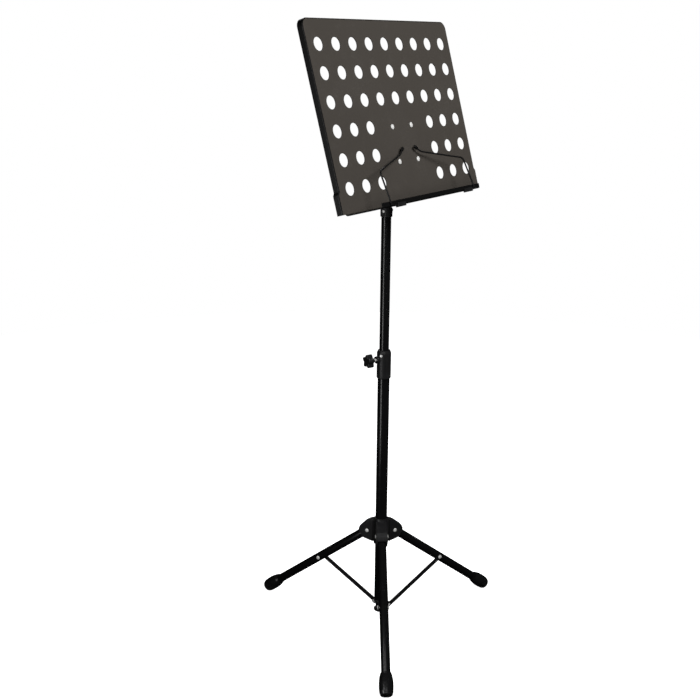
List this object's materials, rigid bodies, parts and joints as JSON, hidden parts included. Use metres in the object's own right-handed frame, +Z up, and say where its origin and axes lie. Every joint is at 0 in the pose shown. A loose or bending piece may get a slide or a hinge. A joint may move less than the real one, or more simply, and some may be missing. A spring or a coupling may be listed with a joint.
{
  "type": "music stand",
  "caption": "Folding music stand with a perforated sheet-metal desk, ledge and wire page holders on a tilting, telescoping post with a sliding hub and braced tube legs.",
  "frame": {"origin": "on the floor, under the middle of the whole stand's bounding box", "axes": "+Z up, -Y toward the player who reads the desk, +X toward the player's right"},
  "size_m": [0.5278, 0.4916, 1.2898],
  "materials": {
    "desk_paint": "satin",
    "tube_paint": "gloss",
    "steel_paint": "satin",
    "black_plastic": "matte",
    "black_rubber": "satin",
    "zinc": "bright",
    "nylon": "matte"
  },
  "bodies": {
    "post": {"lower_tube": "tube_paint", "clutch_collar": "black_plastic", "collar_rivet": "zinc", "clamp_pad": "nylon", "brace_bracket": "black_plastic", "bracket_pin_1": "zinc", "bracket_pin_2": "zinc", "bracket_pin_3": "zinc"},
    "clamp": {"clamp_screw": "zinc", "height_knob": "black_plastic"},
    "hub": {"leg_hub": "black_plastic", "leg_pivot_rivet_1": "zinc", "leg_pivot_rivet_2": "zinc", "leg_pivot_rivet_3": "zinc"},
    "leg_1": {"leg_tube_1": "tube_paint", "leg_foot_1": "black_rubber", "brace_rivet_1": "zinc"},
    "leg_2": {"leg_tube_2": "tube_paint", "leg_foot_2": "black_rubber", "brace_rivet_2": "zinc"},
    "leg_3": {"leg_tube_3": "tube_paint", "leg_foot_3": "black_rubber", "brace_rivet_3": "zinc"},
    "brace_1": {"leg_brace_1": "steel_paint", "brace_end_pin_1": "zinc"},
    "brace_2": {"leg_brace_2": "steel_paint", "brace_end_pin_2": "zinc"},
    "brace_3": {"leg_brace_3": "steel_paint", "brace_end_pin_3": "zinc"},
    "riser": {"guide_sleeve": "nylon"},
    "upper_post": {"upper_tube": "tube_paint", "tilt_head": "black_plastic", "tilt_bolt": "zinc", "tilt_nut": "black_plastic", "tilt_washer_left": "nylon", "tilt_washer_right": "nylon"},
    "desk": {"desk_plate": "desk_paint", "desk_bracket": "steel_paint", "desk_rivet_1": "zinc", "desk_rivet_2": "zinc", "desk_rivet_3": "zinc", "desk_rivet_4": "zinc", "holder_block_left": "black_plastic", "holder_block_right": "black_plastic"},
    "holder_left": {"page_holder_left": "steel_paint", "holder_tip_left": "black_rubber"},
    "holder_right": {"page_holder_right": "steel_paint", "holder_tip_right": "black_rubber"}
  },
  "joints": [
    {"name": "knob_turn", "type": "hinge", "parent": "post", "child": "clamp", "pos_m": [-0.01782, -0.05623, 0.6138], "axis": [-0.9212, 0.3891, 0], "range_deg": [-30, 330]},
    {"name": "hub_slide", "type": "slide", "parent": "post", "child": "hub", "axis": [0, 0, 1], "range_m": [0, 0.137]},
    {"name": "leg_1_fold", "type": "hinge", "parent": "hub", "child": "leg_1", "pos_m": [-0.02128, -0.02844, 0.22054], "axis": [-0.9923, -0.1236, 0], "range_deg": [0, 48.7]},
    {"name": "leg_2_fold", "type": "hinge", "parent": "hub", "child": "leg_2", "pos_m": [-0.04015, -0.07312, 0.22054], "axis": [0.6032, -0.7976, 0], "range_deg": [0, 48.7]},
    {"name": "leg_3_fold", "type": "hinge", "parent": "hub", "child": "leg_3", "pos_m": [0.00798, -0.06712, 0.22054], "axis": [0.3891, 0.9212, 0], "range_deg": [0, 48.7]},
    {"name": "brace_1_swing", "type": "hinge", "parent": "leg_1", "child": "brace_1", "pos_m": [-0.0368, 0.09616, 0.12137], "axis": [-0.9923, -0.1236, 0], "range_deg": [-101.44, 0]},
    {"name": "brace_2_swing", "type": "hinge", "parent": "leg_2", "child": "brace_2", "pos_m": [-0.1403, -0.14886, 0.12137], "axis": [0.6032, -0.7976, 0], "range_deg": [-101.44, 0]},
    {"name": "brace_3_swing", "type": "hinge", "parent": "leg_3", "child": "brace_3", "pos_m": [0.12365, -0.11598, 0.12137], "axis": [0.3891, 0.9212, 0], "range_deg": [-101.44, 0]},
    {"name": "height_slide", "type": "slide", "parent": "post", "child": "riser", "axis": [0, 0, 1], "range_m": [-0.26, 0.18]},
    {"name": "desk_swivel", "type": "hinge", "parent": "riser", "child": "upper_post", "pos_m": [-0.01782, -0.05623, 0.9119], "axis": [0, 0, 1], "continuous": true},
    {"name": "desk_tilt", "type": "hinge", "parent": "upper_post", "child": "desk", "pos_m": [-0.01782, -0.05623, 0.9234], "axis": [-1, 0, 0], "range_deg": [-16, 74]},
    {"name": "holder_left_swing", "type": "hinge", "parent": "desk", "child": "holder_left", "pos_m": [-0.16982, -0.17087, 0.96293], "axis": [1, 0, 0], "range_deg": [0, 110]},
    {"name": "holder_right_swing", "type": "hinge", "parent": "desk", "child": "holder_right", "pos_m": [0.13418, -0.17087, 0.96293], "axis": [1, 0, 0], "range_deg": [0, 110]}
  ],
  "couplings": [
    {"joint": "hub_slide", "follows": "leg_1_fold", "m_per_rad": 0.16091},
    {"joint": "leg_2_fold", "follows": "leg_1_fold", "ratio": 1},
    {"joint": "leg_3_fold", "follows": "leg_1_fold", "ratio": 1},
    {"joint": "brace_1_swing", "follows": "leg_1_fold", "ratio": -2.0809},
    {"joint": "brace_2_swing", "follows": "leg_1_fold", "ratio": -2.0809},
    {"joint": "brace_3_swing", "follows": "leg_1_fold", "ratio": -2.0809}
  ]
}
